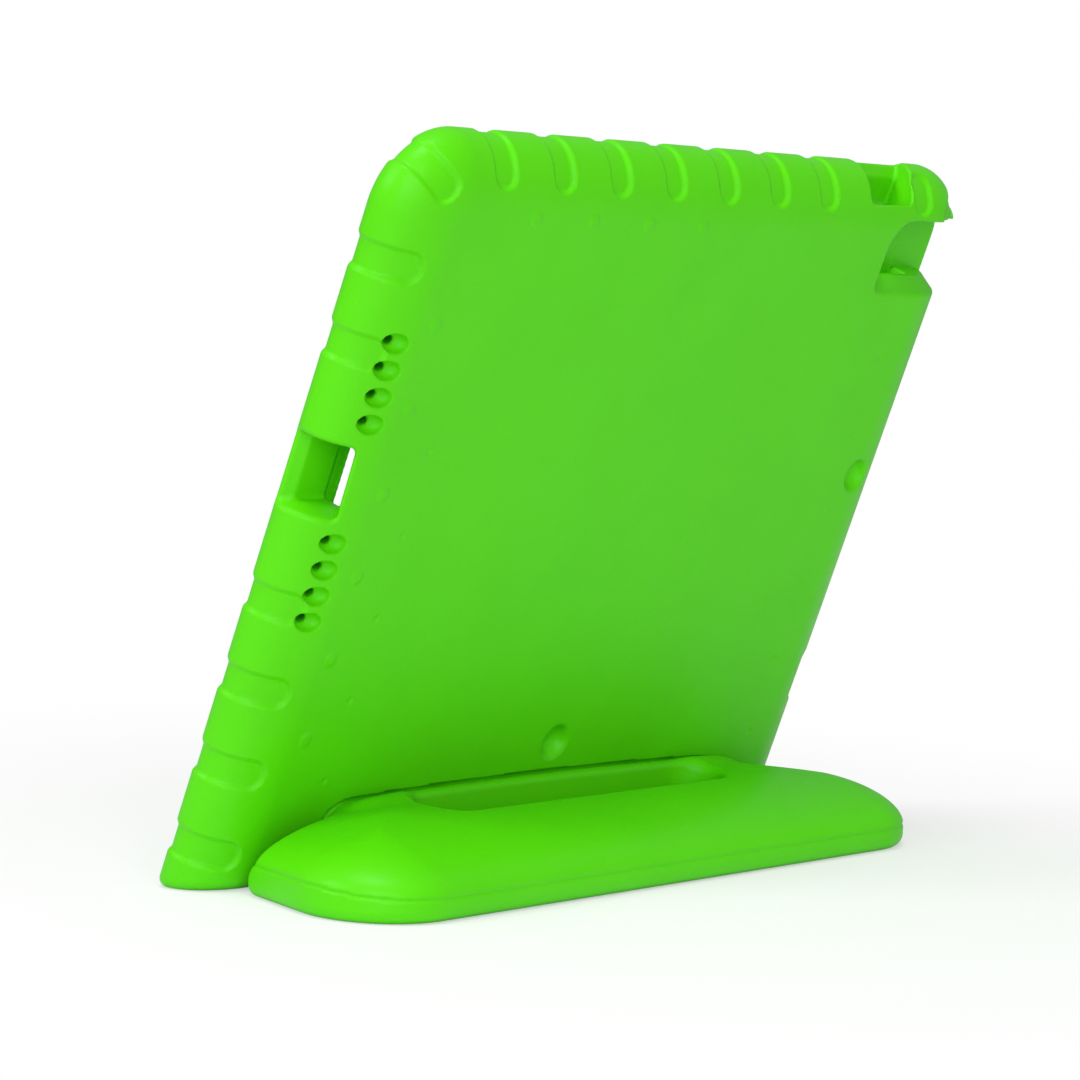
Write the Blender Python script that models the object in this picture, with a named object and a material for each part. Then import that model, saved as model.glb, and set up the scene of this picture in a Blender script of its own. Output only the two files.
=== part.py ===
"""Kids tablet case, moulded in one piece from soft foam.

A tray grips a tablet of about 10 inches and leans back over a D-shaped carrying handle.
The handle is a domed plate that lies flat on the ground, with a finger slot through it.
Run with: blender --background --python part.py

World frame: +X runs along the width, the case's back looks towards -Y, +Z is up.
Case frame: x runs along the width, y points to the front, z runs up the leaning panel.
In it a depth is measured from the front face (0) to the back face (CASE_DEPTH).
"""
import math

import bmesh
import bpy
from mathutils import Vector

MM = 0.001

# Tablet that the tray is made for
TABLET_WIDTH = 240.0 * MM
TABLET_HEIGHT = 169.5 * MM
TABLET_THICKNESS = 7.5 * MM
TABLET_CORNER = 9.0 * MM
TABLET_CLEARANCE = 0.3 * MM

# Tray
SIDE_WALL = 19.3 * MM
TOP_WALL = 19.3 * MM
CHIN_HEIGHT = 50.3 * MM
FRONT_LIP = 4.6 * MM
BACK_PANEL = 7.9 * MM
LIP_OVERLAP = 4.5 * MM
CASE_CORNER = 24.5 * MM
LEAN_ANGLE = math.radians(19.0)
FRONT_ROUND = 4.0 * MM
BACK_ROUND_ACROSS = 20.5 * MM
BACK_ROUND_DEEP = 14.0 * MM
FOOT_ROUND = 1.8 * MM

# Grip grooves round the rim
GROOVE_PITCH = 26.2 * MM
GROOVE_WIDTH = 11.0 * MM
GROOVE_DEPTH = 1.4 * MM
GROOVE_ON_FRONT = 3.0 * MM
GROOVE_ON_BACK = 13.6 * MM
GROOVE_ON_BACK_RIGHT = 6.8 * MM
GROOVE_AT_SPEAKERS = 10.2 * MM
GROOVE_END_FLAT = 0.4 * MM
GROOVE_END_SHARE = 0.35
GROOVE_PROUD = 2.2 * MM
SIDE_GROOVE_FIRST = 38.0 * MM
TOP_GROOVE_FIRST = 37.5 * MM
TOP_GROOVES = (0, 1, 2, 3, 4, 5, 6, 8)
LEFT_GROOVES = (0, 1, 4, 5, 6, 7)
RIGHT_GROOVES = (1, 2, 3, 4, 7)
SPEAKER_GROOVES = (1, 4)

# Openings in the rim: where each one starts and ends along the rim, at the outside
PORT_BELOW = 10.7 * MM
PORT_ABOVE = 11.4 * MM
JACK_START = 0.5 * MM
JACK_LENGTH = 17.0 * MM
VOLUME_FROM_END = 16.5 * MM
VOLUME_LENGTH = 24.8 * MM
STEEP_TAPER = 0.8 * MM
SLOPED_TAPER = 3.6 * MM
VOLUME_TAPER = 4.6 * MM
OPENING_BACK_REACH = 9.6 * MM
LIP_CHAMFER = 3.4 * MM
POCKET_OVERRUN = 2.0 * MM
SKIN_PROUD = 0.3 * MM

# Notch for the camera and the power button in the top right corner
CAMERA_ABOVE_TABLET = 4.5 * MM
CAMERA_HEIGHT = 20.3 * MM
CAMERA_REACH = 24.4 * MM
CAMERA_ROUND = 6.5 * MM
CAMERA_SLOPE = 4.6 * MM
CAMERA_SIDE_SHARE = 0.6

# Speaker holes beside the port
SPEAKER_COUNT = 4
SPEAKER_FIRST = 18.8 * MM
SPEAKER_PITCH = 8.1 * MM
SPEAKER_ABOVE_MIDDLE = 1.5 * MM
SPEAKER_MOUTH_ACROSS = 8.0 * MM
SPEAKER_MOUTH_ALONG = 5.6 * MM
SPEAKER_BORE = 2.8 * MM
SPEAKER_SINK = 3.6 * MM
SPEAKER_INSET = 11.6 * MM

# Round dimples in the back panel
DIMPLE_MOUTH = 12.0 * MM
DIMPLE_BORE = 6.0 * MM
DIMPLE_SINK = 4.0 * MM
DIMPLE_BELOW_TABLET = 4.8 * MM
DIMPLE_ACROSS = 5.0 * MM

# Handle
HANDLE_REACH = 91.0 * MM
HANDLE_HALF_WIDTH = 137.4 * MM
HANDLE_CORNER = 27.3 * MM
HANDLE_TAPER = math.radians(17.5)
HANDLE_FRONT_GAP = 5.8 * MM
HANDLE_TIP_ROUND = 2.5 * MM
HANDLE_RIM = 7.0 * MM
HANDLE_CROWN = 18.0 * MM
HANDLE_CROWN_RUN = 80.0 * MM
HANDLE_BROW = 2.8 * MM
HANDLE_FOOT_ROUND = 1.6 * MM
NECK_HALF_WIDTH = 89.5 * MM
NECK_HEIGHT = 26.3 * MM
NECK_CROWN = 2.1 * MM
NECK_UNDERCUT = 2.0 * MM
NECK_CORNER = 5.0 * MM
SLOT_LENGTH = 146.0 * MM
SLOT_WIDTH = 21.0 * MM
SLOT_FROM_PANEL = 25.3 * MM
SLOT_ROUND = 4.5 * MM

# Mesh fineness
CORNER_STEPS = 10
BACK_STEPS = 9
FRONT_STEPS = 3
GROOVE_BACK_STEPS = 7
CROWN_STEPS = 9
HOLE_SIDES = 16

# Worked out from the above
CASE_WIDTH = TABLET_WIDTH + 2 * SIDE_WALL
CASE_HEIGHT = CHIN_HEIGHT + TABLET_HEIGHT + TOP_WALL
CASE_DEPTH = FRONT_LIP + TABLET_THICKNESS + BACK_PANEL
HALF_WIDTH = CASE_WIDTH / 2
TABLET_MIDDLE = CHIN_HEIGHT + TABLET_HEIGHT / 2
TABLET_TOP = CHIN_HEIGHT + TABLET_HEIGHT
BELOW_GROUND = CASE_CORNER + CASE_DEPTH
PANEL_FOOT = CASE_DEPTH / math.cos(LEAN_ANGLE)
HANDLE_DEPTH = HANDLE_REACH - PANEL_FOOT - HANDLE_FRONT_GAP
CREST_HEIGHT = HANDLE_RIM + 0.95 * HANDLE_CROWN
CREST_INSET = HANDLE_DEPTH - CREST_HEIGHT * math.tan(LEAN_ANGLE) - 1.5 * HANDLE_BROW
SLOT_BEHIND_FRONT = PANEL_FOOT + SLOT_FROM_PANEL


def furthest_back():
    """Distance from the front foot to the rearmost point of the leaning top edge."""
    up = (CASE_HEIGHT - BACK_ROUND_ACROSS) * math.sin(LEAN_ANGLE)
    deep = (CASE_DEPTH - BACK_ROUND_DEEP) * math.cos(LEAN_ANGLE)
    bulge = math.hypot(BACK_ROUND_ACROSS * math.sin(LEAN_ANGLE),
                       BACK_ROUND_DEEP * math.cos(LEAN_ANGLE))
    return up + deep + bulge


# The front foot stands this far in front of the origin, the middle of the whole footprint
FRONT_Y = (max(furthest_back(), HANDLE_REACH) + FOOT_ROUND * math.sin(LEAN_ANGLE)) / 2


def clear_scene():
    for item in list(bpy.data.objects):
        bpy.data.objects.remove(item, do_unlink=True)


def foam_material():
    foam = bpy.data.materials.new("green_foam")
    foam.use_nodes = True
    shader = foam.node_tree.nodes["Principled BSDF"]
    shader.inputs["Base Color"].default_value = (0.10, 0.60, 0.015, 1.0)
    shader.inputs["Roughness"].default_value = 0.55
    shader.inputs["Metallic"].default_value = 0.0
    return foam


def case_frame():
    """Empty whose axes are the case frame: leaning about X at the front foot."""
    frame = bpy.data.objects.new("case_frame", None)
    bpy.context.collection.objects.link(frame)
    frame.location = (0.0, FRONT_Y, 0.0)
    frame.rotation_euler = (LEAN_ANGLE, 0.0, 0.0)
    return frame


def new_object(name, bm, parent=None):
    mesh = bpy.data.meshes.new(name)
    bm.to_mesh(mesh)
    bm.free()
    item = bpy.data.objects.new(name, mesh)
    bpy.context.collection.objects.link(item)
    item.parent = parent
    return item


def signed_volume(faces):
    total = 0.0
    for face in faces:
        corners = [vert.co for vert in face.verts]
        for i in range(1, len(corners) - 1):
            total += corners[0].dot(corners[i].cross(corners[i + 1]))
    return total


def add_loft(bm, rings):
    """Skin a row of equal rings into one closed body with flat ends, facing outwards."""
    rows = [[bm.verts.new(point) for point in ring] for ring in rings]
    count = len(rows[0])
    faces = [bm.faces.new(rows[0][::-1]), bm.faces.new(rows[-1])]
    for low, high in zip(rows, rows[1:]):
        for i in range(count):
            j = (i + 1) % count
            faces.append(bm.faces.new((low[i], low[j], high[j], high[i])))
    if signed_volume(faces) < 0:
        bmesh.ops.reverse_faces(bm, faces=faces)


def arc(centre, radius, start, stop, steps):
    """Points of a flat arc, with both ends."""
    points = []
    for i in range(steps + 1):
        angle = start + (stop - start) * i / steps
        points.append((centre[0] + radius * math.cos(angle),
                       centre[1] + radius * math.sin(angle)))
    return points


def rounded_rectangle(left, right, low, high, radius, steps):
    """Outline of a rectangle with rounded corners, anticlockwise from the lower right."""
    radius = max(radius, 0.2 * MM)
    quarter = math.pi / 2
    corners = ((right - radius, low + radius, -1), (right - radius, high - radius, 0),
               (left + radius, high - radius, 1), (left + radius, low + radius, 2))
    points = []
    for x, z, turn in corners:
        points += arc((x, z), radius, turn * quarter, (turn + 1) * quarter, steps)
    return points


def wall_profile():
    """Section through the rim from front to back, as (inset from the wall, depth)."""
    quarter = math.pi / 2
    profile = []
    for i in range(FRONT_STEPS + 1):
        angle = quarter * i / FRONT_STEPS
        profile.append((FRONT_ROUND * (1 - math.sin(angle)), FRONT_ROUND * (1 - math.cos(angle))))
    for i in range(BACK_STEPS + 1):
        angle = quarter * i / BACK_STEPS
        profile.append((BACK_ROUND_ACROSS * (1 - math.cos(angle)),
                        CASE_DEPTH - BACK_ROUND_DEEP * (1 - math.sin(angle))))
    return profile


def tray_body(frame):
    """Outer shape of the tray, cut flat by the ground, as one solid block."""
    bm = bmesh.new()
    rings = []
    for inset, depth in wall_profile():
        outline = rounded_rectangle(-HALF_WIDTH + inset, HALF_WIDTH - inset,
                                    -BELOW_GROUND + inset, CASE_HEIGHT - inset,
                                    CASE_CORNER - inset, CORNER_STEPS)
        rings.append([(x, -depth, z) for x, z in outline])
    add_loft(bm, rings)
    ground_up = Vector((0.0, math.sin(LEAN_ANGLE), math.cos(LEAN_ANGLE)))
    whole = bm.verts[:] + bm.edges[:] + bm.faces[:]
    bmesh.ops.bisect_plane(bm, geom=whole, dist=1e-7, plane_co=(0, 0, 0), plane_no=ground_up,
                           clear_inner=True)
    rim = [edge for edge in bm.edges if edge.is_boundary]
    foot = bmesh.ops.contextual_create(bm, geom=rim)["faces"][0]
    bmesh.ops.bevel(bm, geom=foot.edges[:], offset=FOOT_ROUND, segments=2, profile=0.5,
                    affect="EDGES", clamp_overlap=True)
    return new_object("case", bm, frame)


def make_cutter(name, bm, parent=None):
    """Body that only shapes the case: triangles keep each of its faces flat."""
    bmesh.ops.triangulate(bm, faces=bm.faces)
    cutter = new_object(name, bm, parent)
    cutter.hide_render = True
    cutter.display_type = "WIRE"
    return cutter


def combine(item, other, operation):
    change = item.modifiers.new(other.name, "BOOLEAN")
    change.operation = operation
    change.solver = "EXACT"
    change.object = other


def prism(bm, outline, near, far):
    """Block with the given outline in the panel's plane, between two depths."""
    add_loft(bm, [[(x, -depth, z) for x, z in outline] for depth in (near, far)])


def tablet_pocket(frame):
    bm = bmesh.new()
    half = TABLET_WIDTH / 2 + TABLET_CLEARANCE
    outline = rounded_rectangle(-half, half, CHIN_HEIGHT - TABLET_CLEARANCE,
                                TABLET_TOP + TABLET_CLEARANCE, TABLET_CORNER, CORNER_STEPS // 2)
    prism(bm, outline, FRONT_LIP, FRONT_LIP + TABLET_THICKNESS)
    return make_cutter("tablet_pocket", bm, frame)


def screen_opening(frame):
    """Window in the front lip, with its edge sloped towards the screen."""
    bm = bmesh.new()
    rings = []
    for depth, spread in ((-1 * MM, 3.0 * MM), (0.0, 2.4 * MM), (FRONT_LIP + 1 * MM, 0.0)):
        half = TABLET_WIDTH / 2 - LIP_OVERLAP + spread
        outline = rounded_rectangle(-half, half, CHIN_HEIGHT + LIP_OVERLAP - spread,
                                    TABLET_TOP - LIP_OVERLAP + spread,
                                    TABLET_CORNER - LIP_OVERLAP + spread, CORNER_STEPS // 2)
        rings.append([(x, -depth, z) for x, z in outline])
    add_loft(bm, rings)
    return make_cutter("screen_opening", bm, frame)


def groove_path(on_front, on_back):
    """Stations along the rim section: (inset, depth, outward normal, distance along)."""
    quarter = math.pi / 2
    end_angle = math.acos(max(0.0, 1 - on_back / BACK_ROUND_ACROSS))
    stations = [(FRONT_ROUND + on_front, 0.0, (0.0, -1.0)),
                (FRONT_ROUND + on_front / 2, 0.0, (0.0, -1.0))]
    for i in range(FRONT_STEPS):
        angle = quarter * (i + 0.5) / FRONT_STEPS
        stations.append((FRONT_ROUND * (1 - math.sin(angle)), FRONT_ROUND * (1 - math.cos(angle)),
                         (-math.sin(angle), -math.cos(angle))))
    for i in range(GROOVE_BACK_STEPS + 1):
        angle = end_angle * (i + 0.5) / (GROOVE_BACK_STEPS + 0.5)
        across = BACK_ROUND_ACROSS * math.sin(angle)
        deep = BACK_ROUND_DEEP * math.cos(angle)
        size = math.hypot(across, deep)
        stations.append((BACK_ROUND_ACROSS * (1 - math.cos(angle)),
                         CASE_DEPTH - BACK_ROUND_DEEP * (1 - math.sin(angle)),
                         (-deep / size, across / size)))
    path = []
    travelled = 0.0
    for i, (inset, depth, normal) in enumerate(stations):
        if i:
            travelled += math.dist((inset, depth), stations[i - 1][:2])
        path.append((inset, depth, normal, travelled))
    return path


def add_groove(bm, place, on_front, on_back):
    """Groove with sloped walls and round ends, wrapped over the rim.

    place(inset, across, depth) gives the point in the case frame, with across measured
    along the rim from the groove's middle.
    """
    path = groove_path(on_front, on_back)
    length = path[-1][3]
    half_floor = GROOVE_WIDTH / 2 - GROOVE_DEPTH
    rings = []
    for inset, depth, normal, travelled in path:
        from_end = min(travelled, length - travelled)
        if from_end < half_floor:
            narrow = math.sqrt(max(0.0, 1 - (1 - from_end / half_floor) ** 2))
        else:
            narrow = 1.0
        floor = max(half_floor * narrow, GROOVE_END_FLAT)
        slope = GROOVE_DEPTH + GROOVE_PROUD
        sink = GROOVE_DEPTH * (GROOVE_END_SHARE + (1 - GROOVE_END_SHARE) * narrow)
        low = (inset - normal[0] * sink, depth - normal[1] * sink)
        top = (inset + normal[0] * GROOVE_PROUD, depth + normal[1] * GROOVE_PROUD)
        rings.append([place(low[0], -floor, low[1]), place(low[0], floor, low[1]),
                      place(top[0], floor + slope, top[1]), place(top[0], -floor - slope, top[1])])
    add_loft(bm, rings)


def grip_grooves(frame):
    bm = bmesh.new()
    first = CASE_HEIGHT - SIDE_GROOVE_FIRST
    for index in LEFT_GROOVES:
        level = first - index * GROOVE_PITCH
        reach = GROOVE_AT_SPEAKERS if index in SPEAKER_GROOVES else GROOVE_ON_BACK
        add_groove(bm, lambda s, a, d, z=level: (-HALF_WIDTH + s, -d, z + a),
                   GROOVE_ON_FRONT, reach)
    for index in RIGHT_GROOVES:
        level = first - index * GROOVE_PITCH
        add_groove(bm, lambda s, a, d, z=level: (HALF_WIDTH - s, -d, z + a),
                   GROOVE_ON_FRONT, GROOVE_ON_BACK_RIGHT)
    for index in TOP_GROOVES:
        middle = -HALF_WIDTH + TOP_GROOVE_FIRST + index * GROOVE_PITCH
        add_groove(bm, lambda s, a, d, x=middle: (x + a, -d, CASE_HEIGHT - s),
                   GROOVE_ON_FRONT, GROOVE_ON_BACK)
    for side in (-1, 1):
        centre = Vector((side * (HALF_WIDTH - CASE_CORNER), 0.0, CASE_HEIGHT - CASE_CORNER))
        out = Vector((side, 0.0, 1.0)).normalized()
        along = Vector((-side, 0.0, 1.0)).normalized()

        def at_corner(s, a, d, centre=centre, out=out, along=along):
            sag = CASE_CORNER - math.sqrt(CASE_CORNER ** 2 - min(a, CASE_CORNER) ** 2)
            point = centre + out * (CASE_CORNER - s - sag) + along * a
            return (point.x, -d, point.z)

        add_groove(bm, at_corner, GROOVE_ON_FRONT, GROOVE_ON_BACK)
    return make_cutter("grip_grooves", bm, frame)


def back_round(inset):
    """Depth of the rim's back round at an inset from the wall."""
    return CASE_DEPTH - BACK_ROUND_DEEP * (1 - math.sqrt(1 - (1 - inset / BACK_ROUND_ACROSS) ** 2))


def opening_section(wall):
    """Section of an opening through the rim, as (inset, depth), on its full depth."""
    pocket_back = FRONT_LIP + TABLET_THICKNESS
    inner = wall + POCKET_OVERRUN
    brink = OPENING_BACK_REACH
    halfway = (inner + brink) / 2 - 1.5 * MM
    return ((LIP_CHAMFER * 0.2, FRONT_LIP - LIP_CHAMFER + 0.2 * MM), (LIP_CHAMFER, FRONT_LIP),
            (inner, FRONT_LIP), (inner, pocket_back),
            (halfway, (pocket_back + back_round(brink)) / 2), (brink, back_round(brink)))


def opening_skin():
    """The same points raised to just outside the rim's surface."""
    skin = [(0.3 * MM, 1.7 * MM), (-SKIN_PROUD, FRONT_LIP + 0.8 * MM)]
    brink_angle = math.acos(1 - OPENING_BACK_REACH / BACK_ROUND_ACROSS)
    for share in (0.35, 0.6, 0.8, 1.0):
        angle = brink_angle * share
        skin.append((BACK_ROUND_ACROSS * (1 - math.cos(angle)) - SKIN_PROUD * math.cos(angle),
                     CASE_DEPTH - BACK_ROUND_DEEP * (1 - math.sin(angle)) + SKIN_PROUD))
    return skin


def add_rim_opening(bm, place, low, high, low_taper, high_taper, wall):
    """Opening through the rim into the pocket, open to the back over part of the round.

    place(inset, across, depth) gives the point in the case frame. The opening runs from
    low to high at the surface, and its ends slope inwards by the two tapers.
    """
    deep = opening_section(wall)
    skin = opening_skin()
    clear = 5 * MM
    outside = ((OPENING_BACK_REACH, CASE_DEPTH + clear), (-clear, CASE_DEPTH + clear),
               (-clear, 0.6 * MM))
    stations = ((low, 0.0), (low + low_taper * 0.55, 0.7), (low + low_taper, 1.0),
                (high - high_taper, 1.0), (high - high_taper * 0.55, 0.7), (high, 0.0))
    rings = []
    for across, share in stations:
        ring = [(s0 + (s1 - s0) * share, d0 + (d1 - d0) * share)
                for (s0, d0), (s1, d1) in zip(skin, deep)]
        rings.append([place(inset, across, depth) for inset, depth in (*ring, *outside)])
    add_loft(bm, rings)


def rim_openings(frame):
    """Openings for the charging port, the headphone jack and the volume buttons."""
    bm = bmesh.new()
    add_rim_opening(bm, lambda s, a, d: (-HALF_WIDTH + s, -d, a), TABLET_MIDDLE - PORT_BELOW,
                    TABLET_MIDDLE + PORT_ABOVE, SLOPED_TAPER, STEEP_TAPER, SIDE_WALL)
    jack = CHIN_HEIGHT + JACK_START
    add_rim_opening(bm, lambda s, a, d: (HALF_WIDTH - s, -d, a), jack, jack + JACK_LENGTH,
                    SLOPED_TAPER, SLOPED_TAPER, SIDE_WALL)
    volume = TABLET_WIDTH / 2 - VOLUME_FROM_END
    add_rim_opening(bm, lambda s, a, d: (a, -d, CASE_HEIGHT - s), volume - VOLUME_LENGTH, volume,
                    STEEP_TAPER, VOLUME_TAPER, TOP_WALL)
    return make_cutter("rim_openings", bm, frame)


def camera_opening(frame):
    """Notch for the camera and the power button, open to the back and to the right."""
    bm = bmesh.new()
    top = TABLET_TOP + CAMERA_ABOVE_TABLET
    low = top - CAMERA_HEIGHT
    left = TABLET_WIDTH / 2 - CAMERA_REACH
    behind_tablet = FRONT_LIP + TABLET_THICKNESS
    rings = []
    for depth, spread in ((FRONT_LIP, 0.0), (behind_tablet, 0.0),
                          (CASE_DEPTH - CAMERA_SLOPE, 0.1 * CAMERA_SLOPE),
                          (CASE_DEPTH, CAMERA_SLOPE), (CASE_DEPTH + 1.0 * MM, CAMERA_SLOPE * 1.2)):
        outline = rounded_rectangle(left - spread * CAMERA_SIDE_SHARE, HALF_WIDTH + 8 * MM,
                                    low - spread, top, CAMERA_ROUND, CORNER_STEPS // 2)
        rings.append([(x, -depth, z) for x, z in outline])
    add_loft(bm, rings)
    return make_cutter("camera_opening", bm, frame)


def add_cone(bm, start, axis, radii):
    """Round cutter along an axis, given as (distance, radius) pairs."""
    turn = Vector((0, 0, 1)).rotation_difference(axis).to_matrix()
    rings = []
    for distance, radius in radii:
        ring = []
        for i in range(HOLE_SIDES):
            angle = 2 * math.pi * i / HOLE_SIDES
            local = Vector((radius * math.cos(angle), radius * math.sin(angle), distance))
            ring.append(start + turn @ local)
        rings.append(ring)
    add_loft(bm, rings)


def speaker_levels():
    middle = TABLET_MIDDLE + SPEAKER_ABOVE_MIDDLE
    return [middle + side * (SPEAKER_FIRST + index * SPEAKER_PITCH)
            for side in (-1, 1) for index in range(SPEAKER_COUNT)]


def speaker_mouths(frame):
    """Oval funnels sunk straight into the rounded left edge, above and below the port."""
    bm = bmesh.new()
    surface = back_round(SPEAKER_INSET)
    for level in speaker_levels():
        rings = []
        for sunk, share in ((-2.5 * MM, 1.25), (0.6 * MM, 1.0), (SPEAKER_SINK, 0.0)):
            across = SPEAKER_BORE / 2 + (SPEAKER_MOUTH_ACROSS - SPEAKER_BORE) / 2 * share
            along = SPEAKER_BORE / 2 + (SPEAKER_MOUTH_ALONG - SPEAKER_BORE) / 2 * share
            ring = []
            for i in range(HOLE_SIDES):
                angle = 2 * math.pi * i / HOLE_SIDES
                ring.append((-HALF_WIDTH + SPEAKER_INSET + across * math.cos(angle),
                             -(surface - sunk), level + along * math.sin(angle)))
            rings.append(ring)
        add_loft(bm, rings)
    return make_cutter("speaker_mouths", bm, frame)


def speaker_bores(frame):
    """Slanted bores from the funnels into the pocket."""
    bm = bmesh.new()
    start = Vector((-HALF_WIDTH + SPEAKER_INSET, -back_round(SPEAKER_INSET) + SPEAKER_SINK / 2, 0))
    target = Vector((-TABLET_WIDTH / 2, -(FRONT_LIP + TABLET_THICKNESS / 2), 0))
    axis = (target - start).normalized()
    reach = (target - start).length + POCKET_OVERRUN
    for level in speaker_levels():
        add_cone(bm, start + Vector((0, 0, level)), axis,
                 ((0.0, SPEAKER_BORE / 2), (reach, SPEAKER_BORE / 2)))
    return make_cutter("speaker_bores", bm, frame)


def back_dimples(frame):
    bm = bmesh.new()
    radii = ((-1.0 * MM, DIMPLE_MOUTH / 2 + 0.6 * MM), (0.4 * MM, DIMPLE_MOUTH / 2 - 0.5 * MM),
             (DIMPLE_SINK * 0.7, DIMPLE_BORE / 2 + 0.8 * MM), (DIMPLE_SINK, DIMPLE_BORE / 2))
    inwards = Vector((0, 1, 0))
    places = ((TABLET_WIDTH / 2 + 0.2 * MM, TABLET_MIDDLE),
              (DIMPLE_ACROSS, CHIN_HEIGHT - DIMPLE_BELOW_TABLET))
    for x, z in places:
        add_cone(bm, Vector((x, -CASE_DEPTH, z)), inwards, radii)
    return make_cutter("back_dimples", bm, frame)


def dome_height(inset):
    """Height of the handle's domed top at an inset from its back edge."""
    return HANDLE_RIM + HANDLE_CROWN * math.sqrt(1 - (1 - inset / HANDLE_CROWN_RUN) ** 2)


def brow_inset(height):
    """How far the handle's front edge draws back at a height: it leans like the tray."""
    over = min(max((height - CREST_HEIGHT + HANDLE_BROW) / HANDLE_BROW, 0.0), 0.98)
    return height * math.tan(LEAN_ANGLE) + HANDLE_BROW * (1 - math.sqrt(1 - over ** 2))


def handle_outline(inset, front_inset):
    """Plan of the handle plate, shrunk by inset at its back and sides."""
    back = -HANDLE_REACH + inset
    front = -HANDLE_REACH + HANDLE_DEPTH - front_inset
    tip = max(HANDLE_TIP_ROUND - front_inset, 0.3 * MM)
    room = (front - tip - back) / (1 + math.sin(HANDLE_TAPER))
    corner = min(HANDLE_CORNER * (1 - inset / (2 * HANDLE_DEPTH)), room)
    middle_x = HANDLE_HALF_WIDTH - inset - corner
    middle_y = back + corner
    side = arc((middle_x, middle_y), corner, -math.pi / 2, HANDLE_TAPER, CORNER_STEPS)
    slant_x = side[-1][0] - math.tan(HANDLE_TAPER) * (front - side[-1][1])
    tip_run = tip * math.tan((math.pi / 2 + HANDLE_TAPER) / 2)
    side += arc((slant_x - tip_run, front - tip), tip, HANDLE_TAPER, math.pi / 2, 4)
    return side + [(-x, y) for x, y in reversed(side)]


def handle_plate():
    """Domed plate on the ground: a stack of shrinking outlines."""
    bm = bmesh.new()
    levels = [(0.0, HANDLE_FOOT_ROUND), (HANDLE_FOOT_ROUND, 0.0), (HANDLE_RIM, 0.0)]
    start_angle = 0.12
    end_angle = math.acos(1 - CREST_INSET / HANDLE_CROWN_RUN)
    for i in range(CROWN_STEPS):
        angle = start_angle + (end_angle - start_angle) * i / (CROWN_STEPS - 1)
        inset = HANDLE_CROWN_RUN * (1 - math.cos(angle))
        levels.append((dome_height(inset), inset))
    rings = []
    for height, inset in levels:
        front_inset = brow_inset(height) + (HANDLE_FOOT_ROUND if height == 0.0 else 0.0)
        rings.append([(x, FRONT_Y + y, height) for x, y in handle_outline(inset, front_inset)])
    add_loft(bm, rings)
    return make_cutter("handle_plate", bm)


def handle_neck():
    """Bridge from the plate into the tray's back, crowned on top and undercut above the ground."""
    bm = bmesh.new()
    back = FRONT_Y - SLOT_BEHIND_FRONT + SLOT_WIDTH / 2 - 2.0 * MM
    front = FRONT_Y - PANEL_FOOT + 4.0 * MM
    half = NECK_HALF_WIDTH
    rings = []
    for x in (-half, -half + NECK_CORNER, -half * 0.6, -half * 0.3, 0.0,
              half * 0.3, half * 0.6, half - NECK_CORNER, half):
        top = NECK_HEIGHT - NECK_CROWN * (x / half) ** 2
        low = NECK_UNDERCUT
        end = back + (NECK_CORNER if abs(x) == half else 0.0)
        rings.append([(x, end, low), (x, end, top),
                      (x, front - top * math.tan(LEAN_ANGLE), top),
                      (x, front - low * math.tan(LEAN_ANGLE), low)])
    add_loft(bm, rings)
    return make_cutter("handle_neck", bm)


def finger_slot():
    """Slot for the fingers, its top edge rounded."""
    bm = bmesh.new()
    half_length = SLOT_LENGTH / 2 - SLOT_WIDTH / 2
    centre_y = FRONT_Y - SLOT_BEHIND_FRONT
    rings = []
    for height, flare in ((-2.0 * MM, 1.0 * MM), (2.0 * MM, 0.0),
                          (CREST_HEIGHT - SLOT_ROUND, 0.0),
                          (CREST_HEIGHT - SLOT_ROUND * 0.5, SLOT_ROUND * 0.14),
                          (CREST_HEIGHT - SLOT_ROUND * 0.15, SLOT_ROUND * 0.45),
                          (CREST_HEIGHT + 2.0 * MM, SLOT_ROUND * 1.3)):
        radius = SLOT_WIDTH / 2 + flare
        outline = arc((half_length, centre_y), radius, -math.pi / 2, math.pi / 2, 10)
        outline += arc((-half_length, centre_y), radius, math.pi / 2, 3 * math.pi / 2, 10)
        rings.append([(x, y, height) for x, y in outline])
    add_loft(bm, rings)
    return make_cutter("finger_slot", bm)


def build():
    clear_scene()
    frame = case_frame()
    bpy.context.view_layer.update()
    case = tray_body(frame)
    case.data.materials.append(foam_material())
    for added in (handle_plate(), handle_neck()):
        combine(case, added, "UNION")
    cutters = (finger_slot(), tablet_pocket(frame), screen_opening(frame), grip_grooves(frame),
               rim_openings(frame), camera_opening(frame), speaker_mouths(frame),
               speaker_bores(frame), back_dimples(frame))
    for cutter in cutters:
        combine(case, cutter, "DIFFERENCE")
    case.data.shade_smooth()
    case.data.set_sharp_from_angle(angle=math.radians(35))


build()
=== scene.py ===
"""Looks of the kids tablet case: one soft foam moulding on a pale studio floor.

The moulding is a distance field in millimetres, negative inside and zero on its surface.
It is meshed on a fine grid, thinned where it is flat, and stands for the plain solid.

World frame: +X along the width, the case's back looks towards -Y, +Z up.
Panel frame: x as in the world, rise up the leaning panel, depth behind its front face.
"""
import math

import bpy
import numpy as np
from mathutils import Matrix, Vector


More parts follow.
